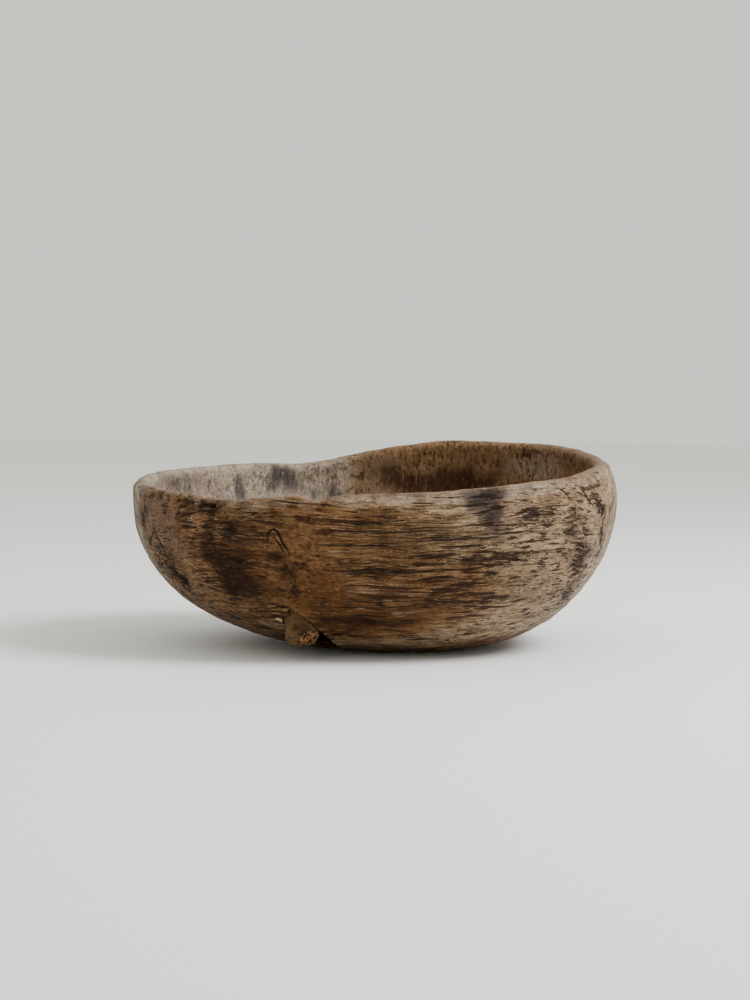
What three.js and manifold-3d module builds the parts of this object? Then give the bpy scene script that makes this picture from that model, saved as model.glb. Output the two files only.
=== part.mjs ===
import * as THREE from 'three';
import { ParametricGeometry } from 'three/addons/geometries/ParametricGeometry.js';
import { mergeVertices } from 'three/addons/utils/BufferGeometryUtils.js';
import Module from 'manifold-3d';

// An oval wooden bowl, hollowed by hand from half a log, and the dead branch knot still seated in
// its wall. Millimetres, +Z up. The origin is on the surface that the bowl stands on, under the
// middle of its outline. +X runs along the grain of the log and -Y is the front. Angles are degrees
// round +Z: 0 is the right end, 90 the back, 180 the left end and 270 the front.

// The outline from above is a squared oval. Each quarter, from the back right one on, bulges past it.
const HALF_LENGTH = 242.5;
const HALF_DEPTH = 220;
const SQUARENESS = 2.2;
const QUARTER_BULGE = [4, -3, 2, 3];

// The outside of the wall every 45 degrees, starting from the right end.
// foot is the radius of the worn flat underneath, and lift how far the underside has risen at the belly.
// fullness is the exponent of the curve up to the belly, the widest place, at the height belly.
// rim is the height of the rim, and tuck how far the wall leans in again above the belly.
const SECTIONS = [
  { foot: 90, lift: 6, fullness: 2.0, belly: 150, rim: 185, tuck: 11 },
  { foot: 90, lift: 6, fullness: 2.1, belly: 145, rim: 198, tuck: 9 },
  { foot: 84, lift: 6, fullness: 2.2, belly: 140, rim: 188, tuck: 6 },
  { foot: 64, lift: 14, fullness: 2.4, belly: 145, rim: 173, tuck: 3 },
  { foot: 42, lift: 22, fullness: 2.4, belly: 152, rim: 164, tuck: 0 },
  { foot: 62, lift: 17, fullness: 2.5, belly: 142, rim: 155, tuck: 1 },
  { foot: 86, lift: 6, fullness: 2.1, belly: 122, rim: 158, tuck: 4 },
  { foot: 94, lift: 3, fullness: 2.0, belly: 130, rim: 170, tuck: 9 },
];

// Swells and dips of the carved rim: where they are, how wide they are and how far they rise.
const RIM_WAVES = [
  { angle: 70, spread: 16, rise: 5 },
  { angle: 110, spread: 13, rise: -8 },
  { angle: 234, spread: 9, rise: -3.5 },
  { angle: 255.5, spread: 2.6, rise: -5 },
  { angle: 338, spread: 14, rise: 3 },
];

// The wall, and the hollow inside it.
const WALL = 19;
const RIM_WALL = 16;
const LIP = 7;
const FLOOR = 27;
const HOLLOW_FULLNESS = 2.7;

// The knot is a plug that tapers inwards, so it can only fall outwards. Its broken stub hangs below.
// The tip is the centre of its lower end, and the axis runs from there up through the wall.
const KNOT_TIP = new THREE.Vector3(-66, -168, 15);
const KNOT_AXIS = new THREE.Vector3(-0.12, 0.25, 0.96).normalize();
const KNOT_RADIUS = 16.3;
const KNOT_INNER_RADIUS = 13;
const KNOT_LENGTH = 76;
const KNOT_EDGE = 4;
const BREAK_NORMAL = new THREE.Vector3(0.45, -0.75, -0.5).normalize();
const BREAK_REACH = 6;
const SOCKET_GAP = 0.3;

// How finely the surfaces are divided.
const COLUMNS = 72;
const OUTER_ROWS = 12;
const LIP_ROWS = 5;
const HOLLOW_ROWS = 12;
const KNOT_SIDES = 20;

const wasm = await Module();
wasm.setup();

// A value that changes smoothly round the bowl, through the sections' own values.
function around(key, angle) {
  const count = SECTIONS.length;
  const place = (angle / 360) * count;
  const first = Math.floor(place);
  const f = place - first;
  const [before, from, to, after] = [-1, 0, 1, 2].map((k) => SECTIONS[(first + k + count) % count][key]);
  const slope = (to - before) * f;
  const bend = (2 * before - 5 * from + 4 * to - after) * f ** 2;
  const twist = (3 * from - before - 3 * to + after) * f ** 3;
  return from + (slope + bend + twist) / 2;
}

function outlineRadius(angle) {
  const turn = THREE.MathUtils.degToRad(angle);
  const across = Math.abs(Math.cos(turn)) / HALF_LENGTH;
  const along = Math.abs(Math.sin(turn)) / HALF_DEPTH;
  const oval = (across ** SQUARENESS + along ** SQUARENESS) ** (-1 / SQUARENESS);
  return oval + QUARTER_BULGE[Math.floor(angle / 90)] * Math.sin(2 * turn) ** 2;
}

function rimHeight(angle) {
  let height = around('rim', angle);
  for (const wave of RIM_WAVES) {
    const away = Math.abs(angle - wave.angle);
    height += wave.rise * Math.exp(-((Math.min(away, 360 - away) / wave.spread) ** 2));
  }
  return height;
}

// Points of the wall's section at an angle, as [radius, height]. share runs from 0 to 1.
function undersideAndBelly(angle, share) {
  const [foot, lift, belly] = ['foot', 'lift', 'belly'].map((key) => around(key, angle));
  const power = 2 / around('fullness', angle);
  const out = Math.sin((share * Math.PI) / 2) ** power;
  const up = 1 - Math.cos((share * Math.PI) / 2) ** power;
  return [foot + (outlineRadius(angle) - foot) * out, lift * out + (belly - lift) * up];
}

function leanIn(angle, height) {
  const belly = around('belly', angle);
  const above = Math.max(0, height - belly) / (rimHeight(angle) - belly);
  return around('tuck', angle) * above ** 1.8;
}

function outerPoint(angle, share) {
  const bellyShare = 0.75;
  if (share <= bellyShare) return undersideAndBelly(angle, share / bellyShare);
  const belly = around('belly', angle);
  const top = rimHeight(angle) - LIP;
  const height = THREE.MathUtils.lerp(belly, top, (share - bellyShare) / (1 - bellyShare));
  return [outlineRadius(angle) - leanIn(angle, height), height];
}

function hollowPoint(angle, share) {
  const turn = (share * Math.PI) / 2;
  const power = 2 / HOLLOW_FULLNESS;
  const top = rimHeight(angle) - LIP;
  const height = top - (top - FLOOR) * Math.sin(turn) ** power;
  const wall = RIM_WALL + (WALL - RIM_WALL) * Math.sin(turn) ** 2;
  return [(outlineRadius(angle) - wall) * Math.cos(turn) ** power - leanIn(angle, height), height];
}

// The rounded top of the rim, from the outside over to the hollow.
function lipPoint(angle, share) {
  const [outer, height] = outerPoint(angle, 1);
  const [inner] = hollowPoint(angle, 0);
  const turn = share * Math.PI;
  return [(outer + inner) / 2 + ((outer - inner) / 2) * Math.cos(turn), height + LIP * Math.sin(turn)];
}

// One row of the bowl's whole skin: the middle of its foot, the outside, the lip and the hollow.
const LIP_START = 1 + OUTER_ROWS;
const HOLLOW_START = LIP_START + LIP_ROWS;
const BOWL_ROWS = HOLLOW_START + HOLLOW_ROWS;

function bowlPoint(angle, row) {
  if (row === 0) return [0, 0];
  if (row < LIP_START) return outerPoint(angle, (row - 1) / OUTER_ROWS);
  if (row < HOLLOW_START) return lipPoint(angle, (row - LIP_START) / LIP_ROWS);
  return hollowPoint(angle, (row - HOLLOW_START) / HOLLOW_ROWS);
}

// The space inside the hollow, closed by a lid well above the rim.
function hollowSpacePoint(angle, row) {
  if (row === HOLLOW_ROWS + 2) return [0, 2 * SECTIONS[0].rim];
  if (row === HOLLOW_ROWS + 1) return [outlineRadius(angle), 2 * SECTIONS[0].rim];
  return hollowPoint(angle, 1 - row / HOLLOW_ROWS);
}

// A closed skin through every [radius, height] that pointAt gives, wound round +Z.
function turnedSkin(pointAt, rows) {
  const place = (u, v, target) => {
    const angle = (u * 360) % 360;
    const [radius, height] = pointAt(angle, Math.round(v * rows));
    const turn = THREE.MathUtils.degToRad(angle);
    target.set(radius * Math.cos(turn), radius * Math.sin(turn), height);
  };
  return new ParametricGeometry(place, COLUMNS, rows);
}

function solidOf(geometry) {
  geometry.deleteAttribute('normal');
  geometry.deleteAttribute('uv');
  const merged = mergeVertices(geometry, 1e-3);
  const corners = merged.index.array;
  const triVerts = [];
  for (let i = 0; i < corners.length; i += 3) {
    const [a, b, c] = corners.subarray(i, i + 3);
    if (a !== b && b !== c && c !== a) triVerts.push(a, b, c);
  }
  const vertProperties = merged.attributes.position.array;
  const mesh = new wasm.Mesh({ numProp: 3, vertProperties, triVerts: Uint32Array.from(triVerts) });
  return new wasm.Manifold(mesh);
}

function geometryOf(solid) {
  const { vertProperties, triVerts } = solid.getMesh();
  const geometry = new THREE.BufferGeometry();
  geometry.setAttribute('position', new THREE.BufferAttribute(vertProperties, 3));
  geometry.setIndex(new THREE.BufferAttribute(triVerts, 1));
  geometry.computeVertexNormals();
  return geometry;
}

// The plug round the knot's axis, grown by a gap on every side to make its socket.
function knotPlug(gap) {
  const profile = [
    new THREE.Vector2(0, -gap),
    new THREE.Vector2(KNOT_RADIUS - KNOT_EDGE, -gap),
    new THREE.Vector2(KNOT_RADIUS + gap, KNOT_EDGE),
    new THREE.Vector2(KNOT_INNER_RADIUS + gap, KNOT_LENGTH),
    new THREE.Vector2(0, KNOT_LENGTH),
  ];
  const plug = new THREE.LatheGeometry(profile, KNOT_SIDES);
  plug.applyQuaternion(new THREE.Quaternion().setFromUnitVectors(THREE.Object3D.DEFAULT_UP, KNOT_AXIS));
  plug.translate(...KNOT_TIP);
  return solidOf(plug);
}

// Everything past the slanting face where the branch snapped off.
function brokenOffPart() {
  const size = 4 * KNOT_RADIUS;
  const block = new THREE.BoxGeometry(size, size, size);
  block.translate(0, size / 2 + BREAK_REACH, 0);
  block.applyQuaternion(new THREE.Quaternion().setFromUnitVectors(THREE.Object3D.DEFAULT_UP, BREAK_NORMAL));
  block.translate(...KNOT_TIP);
  return solidOf(block);
}

function part(name, solid, color, roughness) {
  const material = new THREE.MeshStandardMaterial({ color, roughness, metalness: 0 });
  const mesh = new THREE.Mesh(geometryOf(solid), material);
  mesh.name = name;
  return mesh;
}

const bowl = solidOf(turnedSkin(bowlPoint, BOWL_ROWS));
const hollow = solidOf(turnedSkin(hollowSpacePoint, HOLLOW_ROWS + 2));
const shell = bowl.subtract(knotPlug(SOCKET_GAP));
const knot = knotPlug(0).subtract(hollow).subtract(brokenOffPart());

const carvedBowl = new THREE.Group();
carvedBowl.add(part('bowl_shell', shell, 0x8b6c4c, 0.55));
carvedBowl.add(part('knot_peg', knot, 0x6f5a3e, 0.7));

export default carvedBowl;
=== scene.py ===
"""An old oval bowl hollowed from half a log, with a dead branch knot in its wall. Metres, +Z up."""

import bpy
import numpy as np
from mathutils import Matrix, Vector


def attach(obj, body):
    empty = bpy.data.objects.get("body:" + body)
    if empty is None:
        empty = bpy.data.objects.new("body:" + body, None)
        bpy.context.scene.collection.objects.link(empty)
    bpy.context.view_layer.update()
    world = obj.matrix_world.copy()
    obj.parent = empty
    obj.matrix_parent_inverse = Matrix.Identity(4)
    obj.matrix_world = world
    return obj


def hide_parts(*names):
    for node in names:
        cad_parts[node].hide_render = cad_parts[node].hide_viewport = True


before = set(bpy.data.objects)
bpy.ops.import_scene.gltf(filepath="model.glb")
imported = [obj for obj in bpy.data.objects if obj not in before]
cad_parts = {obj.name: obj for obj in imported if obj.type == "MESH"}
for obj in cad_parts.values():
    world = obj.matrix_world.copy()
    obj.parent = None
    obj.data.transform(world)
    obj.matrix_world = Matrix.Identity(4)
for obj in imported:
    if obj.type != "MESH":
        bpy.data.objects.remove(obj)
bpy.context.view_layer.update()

MM = 0.001


def mm(*values):
    return np.array(values) * MM


def unit(direction):
    return np.array(direction) / np.linalg.norm(direction)


# ---------------- the bowl's shape, as in its CAD part
# Angles are degrees round +Z: 0 is the right end, 90 the back, 180 the left end and 270 the front.
HALF_LENGTH = 242.5 * MM
HALF_DEPTH = 220 * MM
SQUARENESS = 2.2
QUARTER_BULGE = mm(4, -3, 2, 3)

# Eight sections, 45 degrees apart from the right end on.
FOOT = mm(90, 90, 84, 64, 42, 62, 86, 94)
LIFT = mm(6, 6, 6, 14, 22, 17, 6, 3)
FULLNESS = np.array([2.0, 2.1, 2.2, 2.4, 2.4, 2.5, 2.1, 2.0])
BELLY = mm(150, 145, 140, 145, 152, 142, 122, 130)
RIM = mm(185, 198, 188, 173, 164, 155, 158, 170)
TUCK = mm(11, 9, 6, 3, 0, 1, 4, 9)

# Swells and dips of the rim: angle, spread in degrees and rise in millimetres.
RIM_WAVES = [(70, 16, 5), (110, 13, -8), (234, 9, -3.5), (255.5, 2.6, -5), (338, 14, 3)]

WALL = 19 * MM
RIM_WALL = 16 * MM
LIP = 7 * MM
FLOOR = 27 * MM
HOLLOW_FULLNESS = 2.7
BELLY_SHARE = 0.75

KNOT_TIP = mm(-66, -168, 15)
KNOT_AXIS = unit([-0.12, 0.25, 0.96])
KNOT_RADIUS = 16.3 * MM
KNOT_INNER_RADIUS = 13 * MM
KNOT_LENGTH = 76 * MM
BREAK_NORMAL = unit([0.45, -0.75, -0.5])
BREAK_REACH = 6 * MM


def around(values, angle):
    """A value that changes smoothly round the bowl, through the eight sections' own values."""
    place = np.asarray(angle, float) / 360 * len(values)
    first = np.floor(place).astype(int)
    f = place - first
    before, start, end, after = (values[(first + k) % len(values)] for k in (-1, 0, 1, 2))
    slope = (end - before) * f
    bend = (2 * before - 5 * start + 4 * end - after) * f**2
    twist = (3 * start - before - 3 * end + after) * f**3
    return start + (slope + bend + twist) / 2


def outline_radius(angle):
    turn = np.radians(angle)
    across = np.abs(np.cos(turn)) / HALF_LENGTH
    along = np.abs(np.sin(turn)) / HALF_DEPTH
    oval = (across**SQUARENESS + along**SQUARENESS) ** (-1 / SQUARENESS)
    quarter = (np.asarray(angle) // 90).astype(int) % 4
    return oval + QUARTER_BULGE[quarter] * np.sin(2 * turn) ** 2


def rim_height(angle):
    height = around(RIM, angle)
    for centre, spread, rise in RIM_WAVES:
        away = (np.asarray(angle) - centre + 180) % 360 - 180
        height = height + rise * MM * np.exp(-((away / spread) ** 2))
    return height


def lean_in(angle, height):
    """How far the wall leans in again above the belly."""
    belly = around(BELLY, angle)
    above = np.clip(height - belly, 0, None) / (rim_height(angle) - belly)
    return around(TUCK, angle) * above**1.8


def outer_point(angle, share):
    """Radius and height of the outside, from the edge of the foot at share 0 to the lip at share 1."""
    foot, lift, belly = (around(values, angle) for values in (FOOT, LIFT, BELLY))
    power = 2 / around(FULLNESS, angle)
    turn = np.clip(share / BELLY_SHARE, 0, 1) * np.pi / 2
    out = np.sin(turn) ** power
    up = 1 - np.cos(turn) ** power
    radius = foot + (outline_radius(angle) - foot) * out
    height = lift * out + (belly - lift) * up
    climb = np.clip((share - BELLY_SHARE) / (1 - BELLY_SHARE), 0, 1)
    upper = belly + (rim_height(angle) - LIP - belly) * climb
    above = share > BELLY_SHARE
    height = np.where(above, upper, height)
    return np.where(above, outline_radius(angle) - lean_in(angle, upper), radius), height


def hollow_point(angle, share):
    """Radius and height of the hollow, from the lip at share 0 to the middle of the floor at share 1."""
    turn = share * np.pi / 2
    power = 2 / HOLLOW_FULLNESS
    top = rim_height(angle) - LIP
    height = top - (top - FLOOR) * np.sin(turn) ** power
    wall = RIM_WALL + (WALL - RIM_WALL) * np.sin(turn) ** 2
    reach = np.clip(np.cos(turn), 0, 1) ** power
    return (outline_radius(angle) - wall) * reach - lean_in(angle, height), height


def lip_point(angle, share):
    """Radius and height of the rounded rim, from the outside at share 0 to the hollow at share 1."""
    outer, height = outer_point(angle, np.ones_like(angle))
    inner, _ = hollow_point(angle, np.zeros_like(angle))
    turn = share * np.pi
    return (outer + inner) / 2 + (outer - inner) / 2 * np.cos(turn), height + LIP * np.sin(turn)


def foot_point(angle, share):
    """Radius and height of the worn flat underneath, from its middle at share 0 to its edge at 1."""
    return around(FOOT, angle) * share, np.zeros_like(angle)


def on_wall(point, angle, height):
    """The place on the outside or in the hollow that has this angle and height."""
    share = np.linspace(0, 1, 500)
    radius, up = point(np.full(500, float(angle)), share)
    order = np.argsort(up)
    reach = np.interp(height, up[order], radius[order])
    turn = np.radians(angle)
    return np.array([reach * np.cos(turn), reach * np.sin(turn), height])


# ---------------- noise
LATTICE = np.random.default_rng(11).random((32, 32, 32))


def noise(points, size, seed=0):
    """Smooth noise from -1 to 1 in lumps about size across. size is one number or one per axis."""
    place = points / np.asarray(size) + np.array([3.7, 11.3, 5.9]) * (seed + 1)
    cell = np.floor(place).astype(int)
    f = place - cell
    f = f * f * (3 - 2 * f)
    total = np.zeros(len(points))
    for corner in np.ndindex(2, 2, 2):
        weight = np.where(corner, f, 1 - f).prod(axis=1)
        i, j, k = ((cell + corner) % 32).T
        total += weight * LATTICE[i, j, k]
    return 2 * total - 1


def rough(points, size, seed=0, layers=3):
    """Noise with finer and finer layers on top, each half as strong."""
    size = np.asarray(size, float)
    strength = [0.5**layer for layer in range(layers)]
    total = sum(s * noise(points, size * s, seed + layer) for layer, s in enumerate(strength))
    return total / sum(strength)


def step(low, high, value):
    """0 below low, 1 above high and smooth between."""
    t = np.clip((value - low) / (high - low), 0, 1)
    return t * t * (3 - 2 * t)


# ---------------- the bowl's mesh
COLUMNS = 640
OUTER_RINGS = 100
LIP_RINGS = 10
HOLLOW_RINGS = 46
FOOT_SHARES = [0, 0.12, 0.25, 0.45, 0.65, 0.83]
OUTER_SPACING = 3.0 * MM
HOLLOW_SPACING = 5.0 * MM
FRONT_CLOSENESS = 0.45


def column_angles():
    """Directions round the bowl, closer together at the front, where the wood has the most detail."""
    fine = np.linspace(0, 360, 3601)
    closeness = 1 - FRONT_CLOSENESS * np.tanh(3 * np.sin(np.radians(fine)))
    reached = np.append(0, np.cumsum((closeness[1:] + closeness[:-1]) / 2))
    return np.interp(np.arange(COLUMNS) / COLUMNS * reached[-1], reached, fine)


def even_shares(point, count):
    """Shares whose points on the wood are about the same distance apart."""
    share = np.linspace(0, 1, 600)
    reached = np.zeros(600)
    for angle in range(0, 360, 45):
        radius, height = point(np.full(600, float(angle)), share)
        steps = np.hypot(np.diff(radius), np.diff(height))
        reached[1:] += np.cumsum(steps) / steps.sum()
    return np.interp(np.linspace(0, reached[-1], count), reached, share)


def bowl_rings():
    """(shape function, share, widest spacing) of every ring, from the foot's middle to the floor's."""
    rings = [(foot_point, share, OUTER_SPACING) for share in FOOT_SHARES]
    rings += [(outer_point, share, OUTER_SPACING) for share in even_shares(outer_point, OUTER_RINGS)]
    rings += [(lip_point, i / LIP_RINGS, OUTER_SPACING) for i in range(1, LIP_RINGS)]
    rings += [(hollow_point, share, HOLLOW_SPACING) for share in even_shares(hollow_point, HOLLOW_RINGS)]
    return rings


def bridge(lower, upper):
    """Faces between two rings of vertex numbers. One may have twice as many as the other, or one."""
    a, b = len(lower), len(upper)
    if a > b:
        return [face[::-1] for face in bridge(upper, lower)]
    if a == 1:
        return [(lower[0], upper[(i + 1) % b], upper[i]) for i in range(b)]
    if a == b:
        return [(lower[i], lower[(i + 1) % a], upper[(i + 1) % a], upper[i]) for i in range(a)]
    faces = []
    for i in range(a):
        l0, l1 = lower[i], lower[(i + 1) % a]
        u0, u1, u2 = upper[2 * i], upper[2 * i + 1], upper[(2 * i + 2) % b]
        faces += [(l0, l1, u1), (l0, u1, u0), (l1, u2, u1)]
    return faces


def link_object(name, data):
    made = bpy.data.objects.new(name, data)
    bpy.context.collection.objects.link(made)
    return made


def mesh_object(name, vertices, faces):
    mesh = bpy.data.meshes.new(name)
    mesh.from_pydata(vertices.tolist(), [], faces)
    mesh.update()
    for face in mesh.polygons:
        face.use_smooth = True
    return link_object(name, mesh)


def add_attributes(piece, values_by_name):
    """One number per vertex under each name, for the materials to read."""
    for name, values in values_by_name.items():
        piece.data.attributes.new(name, "FLOAT", "POINT").data.foreach_set("value", values)


def plain_bowl():
    """The smooth bowl: vertices and faces, and the zone and share of every vertex."""
    angles = column_angles()
    vertices, zones, shares, faces = [], [], [], []
    before, made = [], 0
    for point, share, spacing in bowl_rings():
        radius, height = point(angles, np.full(COLUMNS, float(share)))
        girth = 2 * np.pi * radius.mean()
        wanted = 1 if girth < 20 * MM else COLUMNS
        while wanted > 20 and girth / (wanted / 2) < spacing:
            wanted //= 2
        if len(before) > 1 and wanted > 1:
            wanted = int(np.clip(wanted, len(before) // 2, len(before) * 2))
        pick = np.arange(0, COLUMNS, COLUMNS // wanted)
        turn = np.radians(angles[pick])
        ring = np.stack([radius[pick] * np.cos(turn), radius[pick] * np.sin(turn), height[pick]], axis=1)
        if wanted == 1:
            ring = np.array([[0, 0, height.mean()]])
        numbers = list(range(made, made + wanted))
        if before:
            faces += bridge(before, numbers)
        vertices.append(ring)
        zones += [point.__name__] * wanted
        shares += [share] * wanted
        before, made = numbers, made + wanted
    return np.concatenate(vertices), faces, np.array(zones), np.array(shares)


# ---------------- marks on the wood
def spots(points, wall, rows):
    """Soft ovals on a wall, added up. A row is angle, height, half width, half height, amount, tilt."""
    total = np.zeros(len(points))
    for angle, height, wide, tall, amount, *tilt in rows:
        turn, lean = np.radians(angle), np.radians(tilt[0] if tilt else 0)
        away = points - on_wall(wall, angle, height * MM)
        u = away @ np.array([-np.sin(turn), np.cos(turn), 0])
        out = away @ np.array([np.cos(turn), np.sin(turn), 0])
        v = np.hypot(out, away[:, 2]) * np.sign(away[:, 2])
        across = (u * np.cos(lean) + v * np.sin(lean)) / (wide * MM)
        along = (v * np.cos(lean) - u * np.sin(lean)) / (tall * MM)
        total += amount * np.exp(-(across**2) - along**2)
    return total


def soaked(points, wall, rows):
    """Soft ovals that add up to 1 at most."""
    return 1 - np.exp(-spots(points, wall, rows))


def smooth_line(corners, spacing=1.5 * MM):
    """Points close together on a smooth line through the corners."""
    corners = np.array(corners)
    ends = np.concatenate([[2 * corners[0] - corners[1]], corners, [2 * corners[-1] - corners[-2]]])
    line = []
    for a, b, c, d in zip(ends, ends[1:], ends[2:], ends[3:]):
        count = max(2, int(np.linalg.norm(c - b) / spacing))
        t = np.arange(count)[:, None] / count
        curve = 2 * b + (c - a) * t + (2 * a - 5 * b + 4 * c - d) * t**2 + (3 * b - a - 3 * c + d) * t**3
        line.append(curve / 2)
    return np.concatenate(line + [ends[-2:-1]])


def seam(points, normals, wall, places, reach=14 * MM):
    """Signed distance across a line on a wall, and how open it is there, from 0 at its ends to 1."""
    line = smooth_line([on_wall(wall, angle, height * MM) for angle, height in places])
    across = np.full(len(points), 1.0)
    body = np.zeros(len(points))
    near = ((points > line.min(axis=0) - reach) & (points < line.max(axis=0) + reach)).all(axis=1)
    close = points[near]
    gaps = np.linalg.norm(close[:, None] - line[None], axis=2)
    nearest = gaps.argmin(axis=1)
    tangent = np.gradient(line, axis=0)[nearest]
    side = np.cross(normals[near], tangent)
    side /= np.linalg.norm(side, axis=1)[:, None]
    across[near] = ((close - line[nearest]) * side).sum(axis=1)
    body[near] = np.sqrt(np.clip(np.sin(np.pi * nearest / (len(line) - 1)), 0, 1))
    return across, body


# Soft marks on the wood. Each row is an oval: the angle and height of its middle, its half width and
# half height, its amount, and its tilt in degrees if it has one. Heights and widths are in
# millimetres. The first rows of a list are at the front and the last ones at the back.

# Dark, torn fibres on the outside.
STREAKS = [
    (293, 95, 20, 8, 1.7), (304, 101, 30, 5, 2.0, 3), (309, 139, 18, 9, 3.0, 8),
    (290, 66, 26, 9, 1.8, 4), (270, 87, 22, 6, 2.6), (277, 84, 28, 3, 1.2),
    (270, 133, 28, 8, 0.8), (284, 128, 26, 14, 0.6), (278, 106, 50, 10, 0.5),
    (302, 100, 80, 50, 0.25), (320, 130, 8, 18, 1.4, -20), (326, 92, 14, 22, 2.2, 35),
    (334, 112, 10, 18, 2.4, 30), (328, 57, 16, 14, 1.4, 40), (332, 144, 7, 10, 2.4, 20),
    (300, 60, 40, 6, 0.6), (237, 91, 13, 6, 1.2), (244, 67, 16, 12, 1.0),
    (249, 86, 8, 7, 1.8), (249, 64, 5, 14, 1.2), (212, 92, 8, 30, 1.0, 25),
    (205, 128, 7, 26, 1.3), (214, 72, 9, 12, 1.3, 30), (207, 90, 5, 20, 0.6, 10),
    (275, 45, 44, 10, 0.5), (20, 120, 26, 30, 1.1, 30), (60, 90, 50, 16, 0.9),
    (95, 140, 40, 20, 0.9), (130, 70, 36, 22, 1.0), (165, 120, 20, 34, 1.0, 20),
    (75, 40, 50, 12, 0.6), (350, 60, 24, 24, 0.9, 30), (185, 60, 24, 18, 0.7),
    (100, 60, 60, 14, 0.8), (45, 140, 30, 16, 0.8), (0, 110, 30, 40, 0.7, 30),
    (75, 120, 60, 40, 0.4),
]

# Dark stains with soft edges.
STAINS = [
    (231.6, 80, 10, 18, 2.6), (231, 118, 7, 28, 1.1), (232, 140, 7, 11, 1.0),
    (237.5, 119, 16, 13, 1.1), (235, 60, 20, 12, 1.4), (234, 90, 16, 36, 1.0),
    (238, 72, 12, 8, 1.2), (240, 100, 20, 14, 0.5), (246.5, 97, 9, 6, 2.0),
    (247, 80, 8, 8, 0.8), (269, 39, 36, 9, 1.6), (271, 61, 8, 4, 1.2),
    (262, 30, 20, 8, 0.8), (293, 95, 12, 6, 0.5), (206, 138, 4, 14, 0.5),
    (228, 147, 6, 6, 1.0), (258, 45, 10, 10, 0.7), (118, 110, 26, 26, 1.2),
    (70, 70, 30, 18, 1.0, 10), (25, 70, 22, 16, 0.9), (152, 60, 20, 26, 0.8, 10),
    (90, 30, 60, 10, 0.8), (60, 160, 16, 14, 1.2), (352, 120, 14, 22, 0.6),
]

# Charred wood.
CHAR = [
    (296, 156, 17, 13, 3.0), (298, 146, 13, 16, 1.9), (300, 120, 5, 16, 1.0),
    (309, 139, 14, 6, 0.4, 8), (330, 76, 12, 16, 0.4, 30), (218, 126, 14, 16, 0.3),
    (135, 150, 16, 22, 1.0), (48, 100, 20, 12, 0.8),
]

# A smooth film of smoke and dirt.
VEIL = [
    (214.5, 130, 17, 26, 1.7), (219, 106, 10, 16, 1.0), (299, 132, 15, 16, 2.0),
    (305, 152, 12, 10, 1.2), (255, 118, 16, 10, 0.5), (140, 120, 24, 30, 1.4),
    (20, 150, 20, 20, 1.2), (75, 100, 30, 20, 0.9),
]

# Redder, smoother wood. The wide oval low on the front is painted shade there, darker and more saturated.
RUDDY = [
    (253, 112, 30, 40, 0.9), (219, 110, 20, 44, 1.0), (275, 36, 70, 18, 1.0),
    (258, 70, 34, 30, 0.8), (240, 80, 44, 50, 0.8), (205, 120, 14, 40, 0.7),
    (298, 80, 26, 10, 0.4), (110, 90, 60, 50, 0.7), (50, 60, 60, 30, 0.5),
]

# Wood that damp has turned a deeper brown.
DAMP = [
    (256, 72, 34, 22, 1.2), (268, 46, 62, 22, 1.5), (238, 80, 24, 36, 0.9),
    (250, 30, 40, 20, 1.0), (285, 30, 50, 14, 0.1), (246, 122, 8, 26, 0.25),
    (80, 50, 60, 20, 0.9), (130, 90, 40, 30, 0.7), (20, 60, 40, 30, 0.6),
    (180, 50, 30, 20, 0.5),
]

# Bleached and worn wood, partly painted light: the wide ovals at the right end and low on the front paint
# in the brightness and sheen on the lit side and lighten the shade along the foot.
PALE = [
    (288, 112, 24, 22, 0.4), (240, 140, 20, 11, 0.5), (251, 138, 20, 12, 0.35),
    (287, 22, 40, 12, 0.5),
    (283, 130, 44, 26, 0.35), (293, 130, 17, 14, 0.5), (302, 120, 34, 30, 0.5),
    (312, 110, 54, 60, 0.9), (338, 110, 60, 80, 1.0), (322, 42, 70, 26, 1.6),
    (302, 28, 70, 14, 1.2), (335, 40, 40, 30, 0.8), (198, 130, 24, 40, 1.0),
    (221, 88, 16, 26, 0.5), (217, 60, 20, 10, 0.4, 20), (270, 151, 44, 8, 0.9),
    (290, 152, 40, 8, 0.9), (223, 62, 9, 3, 1.2, 10), (236, 30, 34, 6, 1.1, -10),
    (241.5, 37, 4, 3, 1.2), (206, 62, 16, 30, 0.3, 20), (275, 14, 70, 12, 1.1),
    (205, 110, 20, 50, 0.3), (0, 110, 70, 80, 0.9), (30, 130, 60, 60, 0.5),
    (150, 120, 50, 60, 0.4), (60, 150, 60, 30, 0.4),
]

# Dark stains and bleached wood in the hollow.
HOLLOW_STAINS = [
    (119.5, 161, 13, 9, 2.0), (115.5, 150, 9, 15, 2.2), (121.5, 145, 9, 12, 1.6),
    (132.5, 144, 6, 10, 2.0), (155, 157, 20, 14, 1.1), (105.5, 169, 8, 5, 0.9),
    (110, 158, 5, 7, 1.2), (103.5, 148, 10, 11, 1.6), (110, 140, 12, 9, 0.9),
    (90, 162, 26, 22, 0.6), (85, 156, 9, 15, 0.8), (80, 152, 18, 13, 1.4),
    (68, 154, 40, 14, 1.9), (58, 154, 24, 14, 1.2), (64, 172, 34, 10, 0.5),
    (52, 181, 16, 7, 0.7), (38, 165, 16, 12, 0.3), (28, 160, 14, 12, 0.2),
    (30, 100, 40, 40, 0.6), (200, 90, 40, 30, 0.5), (280, 90, 60, 40, 0.6),
    (330, 60, 60, 40, 0.5), (100, 60, 50, 30, 0.6), (20, 40, 40, 30, 0.4),
    (163, 158, 24, 16, 0.6),
]
HOLLOW_PALE = [
    (150, 140, 110, 90, 1.4), (118, 150, 44, 60, 1.0), (101, 160, 24, 50, 0.55),
    (86, 162, 30, 40, 0.4), (36, 172, 50, 30, 0.55), (50, 175, 40, 14, 0.3),
    (185, 120, 90, 60, 0.9), (200, 50, 90, 60, 0.5), (230, 110, 70, 50, 0.5),
]

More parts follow.
